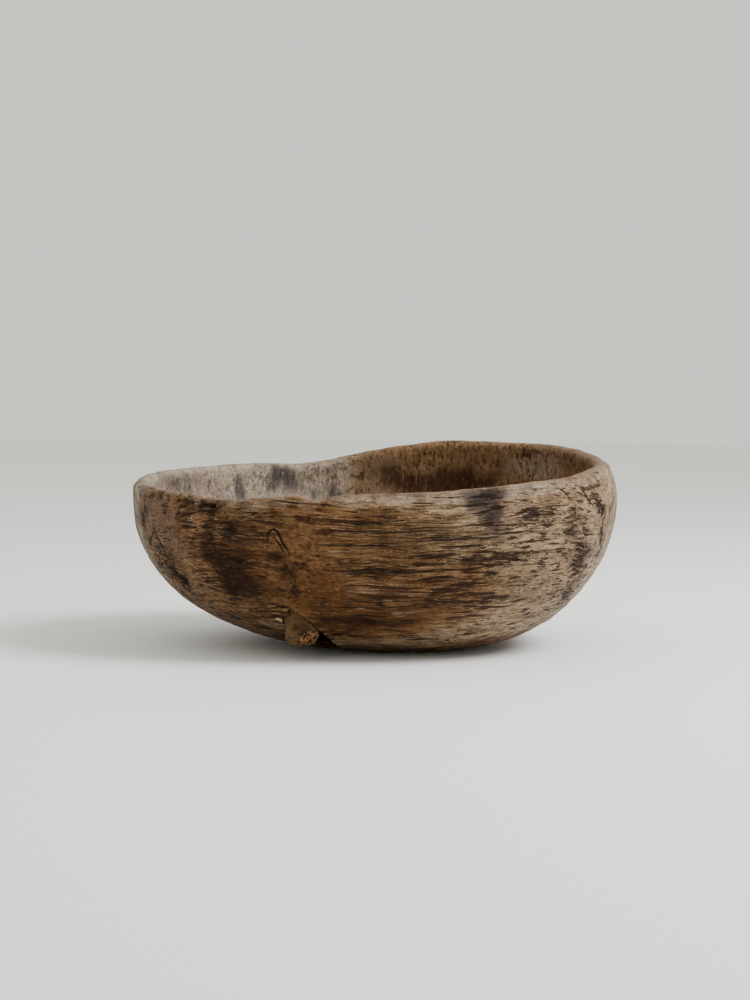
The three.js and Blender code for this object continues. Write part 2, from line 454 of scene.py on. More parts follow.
# Cracks: width and depth in millimetres, then the angle and height of each corner of the line.
CRACKS = [
    (1.2, 0.9, [(206.2, 151), (205, 143), (206, 134), (205.4, 128)]),
    (1.4, 1.2, [(209.5, 129), (209, 118), (206, 108), (203.5, 99)]),
    (1.2, 0.8, [(202.6, 131), (203.5, 124), (204.4, 116)]),
    (1.8, 1.5, [(209.6, 116), (211.5, 104), (212.7, 92)]),
    (1.4, 1.0, [(206.8, 95), (207.5, 87), (209, 79)]),
    (1.2, 1.0, [(215, 100), (215.2, 91), (214.6, 83)]),
    (1.4, 1.2, [(213.2, 84), (215.5, 75), (216.8, 65)]),
    (1.8, 1.4, [(211.2, 65), (213, 60), (214.4, 55)]),
    (1.4, 1.0, [(215.3, 58), (218, 53), (220, 50)]),
    (1.6, 1.4, [(217.4, 122), (217.6, 118)]),
    (1.6, 1.2, [(221.6, 116), (224, 113), (226.5, 114)]),
    (1.4, 1.0, [(221.8, 112), (224.5, 107), (228, 106)]),
    (1.8, 2.0, [(218.8, 147), (220.8, 150)]),
    (1.8, 2.0, [(229, 144), (231.4, 147)]),
    (0.6, 0.5, [(227, 126), (234, 130), (241, 132), (249, 133), (253, 133)]),
    (0.8, 0.8, [(233.6, 97), (237.5, 96), (241.4, 98)]),
    (0.8, 0.8, [(234.2, 92), (237.5, 91), (241.2, 92)]),
    (0.8, 0.8, [(233.6, 88), (237.5, 87), (241.4, 87)]),
    (1.5, 1.9, [(244.2, 109), (244.5, 119), (245.6, 125), (246.9, 123), (248, 114), (249.4, 104),
                (249.2, 99)]),
    (1.1, 1.3, [(249, 98), (247.9, 107), (246.7, 116), (246, 118), (245.4, 111)]),
    (1.4, 1.6, [(240.5, 48), (243, 50.5), (246, 51.5), (248.5, 52)]),
    (1.3, 1.4, [(315, 164), (318, 162), (319.5, 156), (319.5, 148)]),
    (1.6, 1.8, [(323.6, 168), (325.5, 161), (327, 151), (330, 142)]),
    (1.4, 1.6, [(327, 153), (330.5, 152), (333, 146), (333, 136)]),
    (0.8, 1.0, [(327, 103), (323, 90), (320, 80)]),
    (1.0, 1.1, [(291, 102), (300, 105), (309, 105), (322, 102)]),
    (0.7, 0.7, [(274, 98), (281, 103), (289, 105)]),
    (0.8, 0.8, [(272, 131), (280, 133), (288, 132)]),
    (0.7, 0.8, [(262, 93), (268, 93), (275, 95)]),
    (0.6, 0.6, [(262, 149), (267, 151), (274, 150)]),
    (0.7, 0.8, [(298, 16), (296, 29), (295.5, 40)]),
    (0.6, 0.7, [(290, 28), (296, 29), (303.5, 31)]),
    (0.6, 0.6, [(276, 78), (286, 79), (297, 82)]),
    (1.3, 2.0, [(14, 60), (20, 84), (24, 112), (22, 140)]),
    (1.2, 1.8, [(352, 150), (356, 120), (352, 92)]),
    (0.9, 1.2, [(70, 120), (84, 122), (98, 119)]),
    (0.9, 1.2, [(108, 76), (122, 79), (138, 76)]),
    (1.2, 1.8, [(168, 140), (171, 112), (169, 84)]),
]
HOLLOW_CRACKS = [
    (0.8, 1.0, [(188, 152), (190, 128), (187, 100), (192, 70)]),
    (0.8, 1.0, [(8, 160), (6, 130), (9, 96)]),
]


def bowl_weights(zones, shares):
    """How far every vertex belongs to the outside, to the hollow and to the rim, from 0 to 1."""
    outer, lip, hollow = (zones == name for name in ("outer_point", "lip_point", "hollow_point"))
    outside = np.where(outer, step(0, 0.05, shares), 0) + np.where(lip, step(1, 0, shares), 0)
    inside = np.where(hollow, 1.0, 0) + np.where(lip, step(0, 1, shares), 0)
    beside_lip = np.where(outer, step(0.88, 1, shares), 0) + np.where(hollow, step(0.16, 0, shares), 0)
    rim = np.where(lip, 1.0, 0) + beside_lip
    return outside, inside, rim


# How long, deep and high the swells and dents of the wood are. CHOPS runs along, up and out.
BROAD_SWELLS = 80 * MM
SWELLS = mm(34, 20, 20)
FIBRES = mm(70, 26, 6)
GOUGES = mm(26, 13, 4)
PITS = 7 * MM
HOLLOW_SWELLS = 60 * MM
TOOL_MARKS = mm(14, 14, 40)
RIM_SWELLS = 26 * MM
RIM_DENTS = 8 * MM
CHOPS = mm(6, 20, 14)
CHOP_DEPTH = 4.0


def cut_marks(points, outside, inside, rim, marks):
    """How far each vertex moves out, in metres. Where the dents are stays as a mark, which darkens the
    colour there.
    """
    ends = marks["ends"]
    sides = outside * (1 - ends)
    move = outside * (1.6 * rough(points, BROAD_SWELLS, 1) + 0.9 * rough(points, SWELLS, 5))
    move += 0.7 * sides * rough(points, FIBRES, 9, 2)
    gouge = step(0.15, 0.45, rough(points, GOUGES, 13, 2)) * np.clip(0.15 + marks["streaks"], 0, 1)
    pock = step(0.15, 0.5, rough(points, PITS, 17, 2)) * ends * np.clip(0.3 + marks["streaks"], 0, 1)
    move -= 0.8 * sides * gouge + 0.9 * pock
    move += inside * (0.9 * rough(points, HOLLOW_SWELLS, 21) + 0.3 * rough(points, TOOL_MARKS, 25))
    move += rim * (1.2 * rough(points, RIM_SWELLS, 29) + 0.35 * rough(points, RIM_DENTS, 33))
    chops = chopped_rim(points, rim)
    move -= CHOP_DEPTH * chops
    marks["dent_darkening"] = np.clip(gouge * sides + pock + chops, 0, 1)
    return move * MM


def chopped_rim(points, rim):
    """Slanting chops in the rim on the front left, from 0 to 1."""
    x, y, height = points.T
    angle = np.degrees(np.arctan2(y, x)) % 360
    along = np.radians(angle) * 0.5 * (HALF_LENGTH + HALF_DEPTH) + 0.9 * height
    unrolled = np.stack([along, height, np.hypot(x, y)], axis=1)
    chops = step(-0.05, 0.3, rough(unrolled, CHOPS, 95, 2))
    return rim * chops * step(200, 210, angle) * step(240, 230, angle)


def cut_cracks(points, normals, outside, inside, marks):
    """The cracks' grooves, in metres. How many half widths off the nearest crack is stays as a mark."""
    move = np.zeros(len(points))
    nearest = np.full(len(points), 99.0)
    marks["crack_across"] = np.full(len(points), 99.0)
    marks["crack_near"] = np.zeros(len(points))
    ragged = wander(points, *RAGGED_CRACKS)
    cracks = [(outer_point, outside, *crack) for crack in CRACKS]
    cracks += [(hollow_point, inside, *crack) for crack in HOLLOW_CRACKS]
    for wall, side, width, depth, places in cracks:
        across, body = seam(ragged, normals, wall, places)
        body = np.where(side > 0.5, body, 0)
        share = across / (0.5 * width * MM * np.maximum(body, 0.2))
        closer = (np.abs(share) < nearest) & (body > 0)
        nearest = np.where(closer, np.abs(share), nearest)
        marks["crack_across"] = np.where(closer, share, marks["crack_across"])
        fade = body * step(5, 2.5, np.abs(across) / MM) * min(1, 0.2 + 0.5 * depth)
        marks["crack_near"] = np.where(closer, fade, marks["crack_near"])
        spread = max(width, 1.5) * MM
        move -= depth * MM * body * np.exp(-((across / spread) ** 2))
    return move


# The edge of the fold of wood that grew over the branch, from above the knot down to the foot.
FOLD = [(244.5, 45), (246.2, 49), (248, 50.5), (250, 44), (252, 36.5), (254, 26), (255.5, 16), (256, 3)]
FOLD_RISE = 2.2 * MM
FOLD_DEPTH = 13 * MM
FOLD_REACH = 45 * MM

# In millimetres: the cleft's left end and far edge, the fold's slope and crest, and its worn end.
CLEFT_LEFT = (-90, -80)
CLEFT_EDGE = (44, 30)
FOLD_SLOPE = (-13, -2)
FOLD_CREST = (-5, -1.5)
WORN_END = (-46, -58)

# Small rises and chips of the outside near the knot and along the rim, as ovals.
BURR_LUMPS = [(249, 86, 8, 7, 1.2), (249, 66, 5, 12, 0.8), (249, 56, 5, 6, 0.5)]
HOOK_LUMPS = [(246.5, 118, 3.5, 6, 1.0), (248.4, 107, 3, 8, 1.0, 12)]
TUFT_LUMP = [(241.8, 37, 5, 3, 1.0)]
TUFT_FIBRES = mm(8, 2.5, 2.5)
FRAYED_TUFT = [(241.6, 37, 7, 3, 1.5, -15)]
CHIPS = [
    (229.5, 149, 6, 5, 1.0), (225, 150, 4, 3, 0.6), (223, 64, 8, 3, 0.9, 10),
    (90, 180, 8, 4, 0.8),
]


def shape_knot_place(points, normals, outside, marks):
    """The fold over the knot, the cleft beside it, and the rises and chips nearby, in metres."""
    across, body = seam(points, normals, outer_point, FOLD, FOLD_REACH)
    x = points[:, 0] / MM
    across = 1.2 * noise(points, 8 * MM, 71) - across / MM
    body = np.where(outside > 0, body, 0) ** 0.4
    cleft = body * step(*CLEFT_LEFT, x) * step(0, 5, across) * step(*CLEFT_EDGE, across)
    slope = 0.6 * step(*FOLD_SLOPE, across) + 0.6 * step(*FOLD_CREST, across)
    fold = body * step(0.5, -1.5, across) * slope
    move = FOLD_RISE * fold - FOLD_DEPTH * cleft
    # The cleft's mark is painted shade: near black deep in the recess beside the knot.
    marks["cleft"] = np.clip(1.7 * cleft, 0, 1)
    crest = body * np.exp(-(((across + 1.5) / 1.3) ** 2))
    marks["pale"] += 1.2 * crest * step(*WORN_END, x)
    burr = spots(points, outer_point, BURR_LUMPS) * (1.2 + 1.4 * rough(points, 6 * MM, 45, 2))
    hook = spots(points, outer_point, HOOK_LUMPS)
    tuft = spots(points, outer_point, TUFT_LUMP) * rough(points, TUFT_FIBRES, 47)
    chips = spots(points, outer_point, CHIPS)
    move += outside * (burr + 1.3 * hook + 1.8 * tuft - 1.6 * chips) * MM
    marks["tuft"] = outside * spots(points, outer_point, FRAYED_TUFT)
    return move


def wander(points, size, reach):
    """Points moved about at random by up to reach, so that the marks on them get ragged edges."""
    return points + reach * np.stack([rough(points, size, seed) for seed in (80, 85, 90)], axis=1)


# How coarse and how strong the ragged edges of the marks and of the cracks are.
RAGGED = (32 * MM, 12 * MM)
FINELY_RAGGED = (9 * MM, 6 * MM)
RAGGED_CRACKS = (9 * MM, 1.1 * MM)

# The burr above the knot, where end grain shows on the side of the bowl.
BURR = [(249, 86, 10, 9, 1.5), (249, 66, 6, 14, 0.9)]


def bowl_marks(points, normals, outside, inside, rim):
    """What has stained and worn the wood, as one number per vertex for each kind of mark."""
    burr = spots(points, outer_point, BURR)
    points = wander(wander(points, *RAGGED), *FINELY_RAGGED)
    stains = outside * soaked(points, outer_point, STAINS)
    pale = outside * spots(points, outer_point, PALE)
    return {
        "streaks": outside * soaked(points, outer_point, STREAKS),
        "stains": stains + inside * soaked(points, hollow_point, HOLLOW_STAINS),
        "ruddy": outside * spots(points, outer_point, RUDDY),
        "damp": outside * soaked(points, outer_point, DAMP),
        "veil": outside * soaked(points, outer_point, VEIL),
        "pale": pale + inside * spots(points, hollow_point, HOLLOW_PALE),
        "char": outside * soaked(points, outer_point, CHAR),
        "ends": np.clip(step(0.8, 0.95, np.abs(normals[:, 0])) + burr, 0, 1) * outside,
        "inside": inside,
        "floor": inside * step(0.35, 0.75, normals[:, 2]),
        "rim": rim,
    }


def carved_bowl():
    vertices, faces, zones, shares = plain_bowl()
    piece = mesh_object("bowl", vertices, faces)
    normals = np.zeros(len(vertices) * 3)
    piece.data.vertex_normals.foreach_get("vector", normals)
    normals = normals.reshape(-1, 3)
    outside, inside, rim = bowl_weights(zones, shares)
    marks = bowl_marks(vertices, normals, outside, inside, rim)
    move = cut_marks(vertices, outside, inside, rim, marks)
    move += cut_cracks(vertices, normals, outside, inside, marks)
    move += shape_knot_place(vertices, normals, outside, marks)
    vertices += normals * move[:, None]
    vertices[:, 2] = np.maximum(vertices[:, 2], 0)
    piece.data.vertices.foreach_set("co", vertices.ravel())
    add_attributes(piece, marks)
    piece.data.update()
    return piece


# ---------------- the knot
KNOT_SIDES = 96
KNOT_RINGS = 90
CAP_RINGS = 12
SOCKET_GAP = 1.2 * MM
BARK_RIDGES = mm(9, 9, 40)
BARK_FIBRES = mm(3, 3, 14)
SPLINTERS = mm(3.4, 3.4, 6)
SPLINTER_HEIGHT = 2.4 * MM
TIP_ROUNDING = 5 * MM
TIP_HEIGHT = 8 * MM

# The broken face lies a little deeper than in the CAD part, so that its splinters stay inside that.
BREAK_SHARE = 0.6


def knot_frame():
    """Two directions across the knot's axis."""
    first = unit(np.cross(KNOT_AXIS, [0, 1, 0]))
    return first, np.cross(KNOT_AXIS, first)


def knot_mesh(grow=0.0):
    """The knot's plug, from its broken tip up to its end in the hollow, wider all round by grow."""
    first, second = knot_frame()
    turn = np.arange(KNOT_SIDES) / KNOT_SIDES * 2 * np.pi
    caps = np.linspace(0.1, 1, CAP_RINGS)
    rise = np.linspace(0, KNOT_LENGTH, KNOT_RINGS)
    radius = np.interp(rise, [0, KNOT_LENGTH], [KNOT_RADIUS, KNOT_INNER_RADIUS]) + grow
    heights = np.concatenate([np.full(CAP_RINGS, -grow), rise[1:], np.full(CAP_RINGS - 1, KNOT_LENGTH)])
    radii = np.concatenate([caps * radius[0], radius[1:], caps[-2::-1] * radius[-1]])
    rings, vertices = [], []
    for height, reach in zip(heights, radii):
        circle = np.cos(turn)[:, None] * first + np.sin(turn)[:, None] * second
        rings.append(list(range(len(vertices), len(vertices) + KNOT_SIDES)))
        vertices += list(KNOT_TIP + KNOT_AXIS * height + circle * reach)
    bottom, top = len(vertices), len(vertices) + 1
    vertices += [KNOT_TIP - KNOT_AXIS * grow, KNOT_TIP + KNOT_AXIS * KNOT_LENGTH]
    faces = bridge([bottom], rings[0])
    for lower, upper in zip(rings, rings[1:]):
        faces += bridge(lower, upper)
    faces += bridge(rings[-1], [top])
    return np.array(vertices), faces


def lay_flat(vertices, centre, normal):
    """Vertices past a plane are laid onto it. Returns how far each one was past it."""
    past = np.clip((vertices - centre) @ normal, 0, None)
    vertices -= past[:, None] * normal
    return past


def knot_parts(vertices):
    """Height up the knot's axis, share of its radius away from it, and direction away from it."""
    rise = (vertices - KNOT_TIP) @ KNOT_AXIS
    spoke = vertices - KNOT_TIP - rise[:, None] * KNOT_AXIS
    reach = np.linalg.norm(spoke, axis=1)
    return rise, reach / KNOT_RADIUS, spoke / np.maximum(reach, 1e-6)[:, None]


def knot():
    """The knot, with bark on its sides, its broken face outside and its other end cut by the hollow."""
    vertices, faces = knot_mesh()
    rise, reach, spoke = knot_parts(vertices)
    side = step(0.5, 0.95, reach)
    round_off = TIP_ROUNDING * step(TIP_HEIGHT, 0, rise) * side
    bark = rough(vertices, BARK_RIDGES, 50) + 0.4 * rough(vertices, BARK_FIBRES, 55)
    vertices += spoke * (side * bark * MM - round_off)[:, None]
    past = lay_flat(vertices, KNOT_TIP + BREAK_NORMAL * BREAK_REACH * BREAK_SHARE, BREAK_NORMAL)
    broken = step(0, 1.5 * MM, past)
    splinter = 1 - 2.6 * np.abs(rough(vertices, SPLINTERS, 60, 2))
    splinter = np.clip(splinter + 0.6 * noise(vertices, 1.6 * MM, 64), -1, 1)
    vertices += BREAK_NORMAL * (broken * (splinter - 0.5) * SPLINTER_HEIGHT)[:, None]
    tip = step(6 * MM, 0, rise)
    vertices -= KNOT_AXIS * ((1 - broken) * tip * rough(vertices, 7 * MM, 66) * MM)[:, None]
    place, inward = hollow_place()
    end = lay_flat(vertices, place - inward * 0.4 * MM, -inward)
    vertices[:, 2] = np.maximum(vertices[:, 2], 2 * MM)
    piece = mesh_object("knot", vertices, faces)
    open_end = np.clip(broken + step(0, MM, end), 0, 1)
    add_attributes(piece, {"reach": reach, "open_end": open_end, "broken": broken, "splinter": splinter})
    return piece


def hollow_place():
    """Where the knot's axis comes out in the hollow, and the direction into the wood there."""
    inside_wall = KNOT_TIP + KNOT_AXIS * 50 * MM
    angle = np.degrees(np.arctan2(inside_wall[1], inside_wall[0])) % 360
    radius, height = hollow_point(np.full(400, angle), np.linspace(0, 1, 400))
    turn = np.radians(angle)
    wall = np.stack([radius * np.cos(turn), radius * np.sin(turn), height], axis=1)
    rise = (wall - KNOT_TIP) @ KNOT_AXIS
    off = np.linalg.norm(wall - KNOT_TIP - rise[:, None] * KNOT_AXIS, axis=1)
    at = int(off.argmin())
    normal = unit(np.cross([-np.sin(turn), np.cos(turn), 0], wall[at + 1] - wall[at - 1]))
    return wall[at], normal if normal @ KNOT_AXIS < 0 else -normal


def open_socket(bowl):
    """Cuts the knot's through hole in the bowl's wall, a little wider than the knot."""
    cutter = mesh_object("socket", *knot_mesh(SOCKET_GAP))
    cut = bowl.modifiers.new("socket", "BOOLEAN")
    cut.operation = "DIFFERENCE"
    cut.solver = "MANIFOLD"
    cut.object = cutter
    bpy.context.view_layer.update()
    evaluated = bowl.evaluated_get(bpy.context.evaluated_depsgraph_get())
    mesh = bpy.data.meshes.new_from_object(evaluated)
    mesh.materials.clear()
    bowl.modifiers.clear()
    bowl.data = mesh
    bpy.data.objects.remove(cutter)


# ---------------- materials
def node(material, kind, inputs=None, **settings):
    """A shader node. An input that is a socket is linked, and any other value is set on it."""
    tree = material.node_tree
    made = tree.nodes.new(kind)
    for key, value in settings.items():
        setattr(made, key, value)
    for key, value in (inputs or {}).items():
        if isinstance(value, bpy.types.NodeSocket):
            tree.links.new(value, made.inputs[key])
        else:
            made.inputs[key].default_value = value
    return made


def maths(material, operation, a, b=0.0, clamp=False):
    return node(material, "ShaderNodeMath", {0: a, 1: b}, operation=operation, use_clamp=clamp).outputs[0]


def add(material, *terms):
    """The sum of (value, factor) pairs."""
    total = 0.0
    for value, factor in terms:
        values = {0: value, 1: factor, 2: total}
        total = node(material, "ShaderNodeMath", values, operation="MULTIPLY_ADD").outputs[0]
    return total


def times(material, *values):
    total = values[0]
    for value in values[1:]:
        total = maths(material, "MULTIPLY", total, value)
    return total


def blend(material, share, below, above):
    """The colour below where share is 0 and the colour above where it is 1. Text is an sRGB hex code."""
    below, above = (colour(value) if isinstance(value, str) else value for value in (below, above))
    return node(material, "ShaderNodeMix", {0: share, 6: below, 7: above}, data_type="RGBA").outputs[2]


def tint(material, share, below, dye):
    """The colour below, multiplied by the dye where share is 1."""
    values = {0: share, 6: below, 7: dye}
    return node(material, "ShaderNodeMix", values, data_type="RGBA", blend_type="MULTIPLY").outputs[2]


def mix(material, share, below, above):
    """The number below where share is 0 and the number above where it is 1."""
    values = {0: share, 2: below, 3: above}
    return node(material, "ShaderNodeMix", values, data_type="FLOAT").outputs[0]


def ramp(material, value, low, high, to_low=0.0, to_high=1.0):
    """to_low where value is below low, to_high above high and smooth between."""
    values = {0: value, 1: low, 2: high, 3: to_low, 4: to_high}
    return node(material, "ShaderNodeMapRange", values, interpolation_type="SMOOTHSTEP").outputs[0]


def attribute(material, name):
    return node(material, "ShaderNodeAttribute", attribute_name=name).outputs["Fac"]


def vectors(material, operation, a, b):
    return node(material, "ShaderNodeVectorMath", {0: a, 1: b}, operation=operation).outputs[0]


def grain(material, place, stretch, scale, detail, roughness):
    """Noise from 0 to 1 in lumps about 1 / scale metres across, longer where stretch is below 1."""
    drawn = vectors(material, "MULTIPLY", place, stretch)
    settings = {"Vector": drawn, "Scale": scale, "Detail": detail, "Roughness": roughness}
    return node(material, "ShaderNodeTexNoise", settings).outputs["Fac"]


def colour(hex_code):
    """The linear colour of an sRGB hex code."""
    channels = np.array([int(hex_code[i : i + 2], 16) / 255 for i in (0, 2, 4)])
    linear = np.where(channels <= 0.04045, channels / 12.92, ((channels + 0.055) / 1.055) ** 2.4)
    return (*linear.tolist(), 1.0)


def new_material(name):
    material = bpy.data.materials.new(name)
    material.use_nodes = True
    material.node_tree.nodes.clear()
    return material


def bumps(material, relief, strength, distance):
    """The bent normals of a relief that is about distance metres deep."""
    settings = {"Height": relief, "Strength": strength, "Distance": distance}
    return node(material, "ShaderNodeBump", settings).outputs[0]


def finish_material(material, base, roughness, specular, normal=None):
    settings = {"Base Color": base, "Roughness": roughness, "Specular IOR Level": specular}
    if normal is not None:
        settings["Normal"] = normal
    shader = node(material, "ShaderNodeBsdfPrincipled", settings)
    node(material, "ShaderNodeOutputMaterial", {"Surface": shader.outputs[0]})


END_TILT = np.radians(35)


def wood_coordinates(m):
    """The object's coordinates, the same slightly warped, and those turned for the marks of the ends."""
    place = node(m, "ShaderNodeTexCoord").outputs["Object"]
    drift = node(m, "ShaderNodeTexNoise", {"Vector": place, "Scale": 9.0, "Detail": 2.0}).outputs["Color"]
    drift = vectors(m, "SUBTRACT", drift, (0.5, 0.5, 0.5))
    drift = vectors(m, "MULTIPLY", drift, (0.02, 0.02, 0.02))
    flow = vectors(m, "ADD", place, drift)
    turn = {"Vector": flow, "Angle": END_TILT}
    turned = node(m, "ShaderNodeVectorRotate", turn, rotation_type="X_AXIS").outputs[0]
    return place, flow, turned


def outside_colour(m, place, flow, turned, bowl):
    """The outside: tanned wood, torn in places. Returns its colour, its relief and the torn places."""
    def both(scale, detail, roughness, stretch, end_scale):
        """Noise drawn out along the bowl's sides, and along the slanting marks of its ends."""
        along = grain(m, flow, (stretch, 0.25, 1), scale, detail, roughness)
        across = grain(m, turned, (1, 1, 3.5 * stretch), end_scale, detail, roughness)
        return mix(m, bowl["ends"], along, across)

    fibres = both(240.0, 5.0, 0.65, 0.07, 200.0)
    threads = both(430.0, 3.0, 0.6, 0.06, 380.0)
    hairs = both(1000.0, 2.0, 0.5, 0.06, 800.0)
    bands = both(75.0, 3.0, 0.5, 0.1, 75.0)
    cuts = both(330.0, 2.0, 0.5, 0.02, 240.0)
    mottle = grain(m, place, (1, 1, 1), 60.0, 8.0, 0.7)
    clouds = grain(m, place, (1, 1, 1), 15.0, 3.0, 0.6)
    specks = grain(m, place, (0.5, 1, 1), 600.0, 3.0, 0.7)
    grit = grain(m, place, (0.7, 1, 0.8), 300.0, 4.0, 0.7)
    wear = grain(m, place, (1, 1, 1), 90.0, 7.0, 0.7)

    # Plain wood: streaky, or even where it is ruddy, and brown, or ashen where it is bleached and where
    # pale paints in light.
    streaked = ramp(m, add(m, (bowl["ruddy"], 1.0), (clouds, 0.6), (mottle, 0.6)), 0.6, 1.8, 1.0, 0.0)
    streaky = add(m, (fibres, 0.4), (bands, 0.15), (mottle, 0.2), (threads, 0.25))
    even = add(m, (fibres, 0.2), (grit, 0.35), (mottle, 0.35), (threads, 0.1))
    tone = ramp(m, mix(m, streaked, even, streaky), 0.38, 0.64)
    brown = blend(m, tone, "2e1605", "8a6744")
    ashen = blend(m, tone, "4d3a28", "b89f80")
    pale = add(m, (bowl["pale"], 1.0), (mottle, 0.4), (clouds, 0.2))
    # Ashen where pale is high: bleached wood, and painted light and sheen on the right end and along the
    # foot.
    base = blend(m, ramp(m, pale, 0.4, 1.3), brown, ashen)
    # Redder and darker where ruddy. Low on the front this is painted shade.
    ruddy = ramp(m, add(m, (bowl["ruddy"], 1.0), (clouds, 0.5), (mottle, 0.3)), 0.5, 1.5)
    base = tint(m, ruddy, base, (0.93, 0.86, 0.78, 1))
    damp = ramp(m, add(m, (bowl["damp"], 1.0), (mottle, 0.7), (fibres, 0.5)), 0.8, 1.4)
    base = tint(m, damp, base, (0.64, 0.54, 0.38, 1))

    # Fine dark flecks and light threads, fainter where the wood is even.
    fleck = ramp(m, add(m, (hairs, 0.5), (specks, 0.5)), 0.5, 0.38, 0.0, 0.7)
    base = blend(m, times(m, fleck, ramp(m, streaked, 0.0, 1.0, 0.4, 1.0)), base, "1c0c04")
    glow = ramp(m, add(m, (hairs, 0.5), (threads, 0.5)), 0.53, 0.62, 0.0, 0.4)
    shine = blend(m, streaked, "977459", "b8a388")
    base = blend(m, times(m, glow, ramp(m, streaked, 0.0, 1.0, 0.6, 1.0)), base, shine)

    # The worn rim, paler from its wear and in part from a painted sheen, then films of smoke, stains and
    # charred wood.
    wear_and_sheen = add(m, (bowl["rim"], 0.6), (bowl["pale"], 0.1), (wear, 0.8), (clouds, 0.5))
    base = blend(m, ramp(m, wear_and_sheen, 1.15, 1.6, 0.0, 0.7), base, "b5a594")
    tone = ramp(m, add(m, (mottle, 0.5), (grit, 0.5)), 0.4, 0.6)
    brown_film = blend(m, tone, "4c392f", "7f6453")
    grey_film = blend(m, tone, "4c423b", "7b6c60")
    film = blend(m, ramp(m, bowl["pale"], 0.5, 1.2), brown_film, grey_film)
    veiled = ramp(m, add(m, (bowl["veil"], 0.8), (mottle, 0.7), (clouds, 0.3)), 0.6, 1.3, 0.0, 0.8)
    base = blend(m, veiled, base, film)
    stain = add(m, (bowl["stains"], 0.62), (mottle, 1.0), (threads, 0.6), (clouds, 0.3), (grit, 0.6))
    base = tint(m, ramp(m, stain, 1.32, 1.9), base, (0.1, 0.06, 0.03, 1))
    char = add(m, (bowl["char"], 0.6), (mottle, 0.6), (clouds, 0.3))
    base = tint(m, ramp(m, char, 0.6, 1.04), base, (0.16, 0.165, 0.22, 1))

    # Torn fibres, sooty in their dents.
    torn = add(m, (bowl["streaks"], 0.125), (clouds, 0.1), (threads, 0.6), (hairs, 0.25))
    torn = ramp(m, add(m, (torn, 1.0), (fibres, 0.25), (specks, 0.1)), 0.748, 0.768)
    soot = blend(m, ramp(m, specks, 0.4, 0.65), "100602", "2c180b")
    base = blend(m, times(m, torn, 0.92), base, soot)

    # Thin dark lines and long slits, and the pale frayed tuft beside the knot.
    rings = maths(m, "FRACT", times(m, both(130.0, 2.0, 0.5, 0.02, 130.0), 7.0))
    lines = ramp(m, maths(m, "ABSOLUTE", add(m, (rings, 1.0), (0.5, -1.0))), 0.1, 0.03)
    broken_up = ramp(m, add(m, (specks, 0.3), (clouds, 0.5), (bowl["streaks"], 0.12)), 0.42, 0.5)
    slits = add(m, (cuts, 1.0), (threads, 0.5), (clouds, 0.3), (bowl["streaks"], -0.1))
    slits = times(m, ramp(m, slits, 0.8, 0.75), 0.85, ramp(m, streaked, 0.0, 1.0, 0.3, 1.0))
    dark = maths(m, "MAXIMUM", times(m, lines, broken_up, 0.5), slits)
    base = blend(m, dark, base, "1a0b05")
    frayed = ramp(m, add(m, (bowl["tuft"], 0.5), (threads, 0.8), (hairs, 0.4)), 1.0, 1.1)
    base = blend(m, times(m, frayed, 0.85), base, "d2ba94")
    relief = add(m, (fibres, 0.5), (hairs, 0.25), (specks, 0.25), (torn, -0.6), (dark, -0.5))
    return base, relief, torn


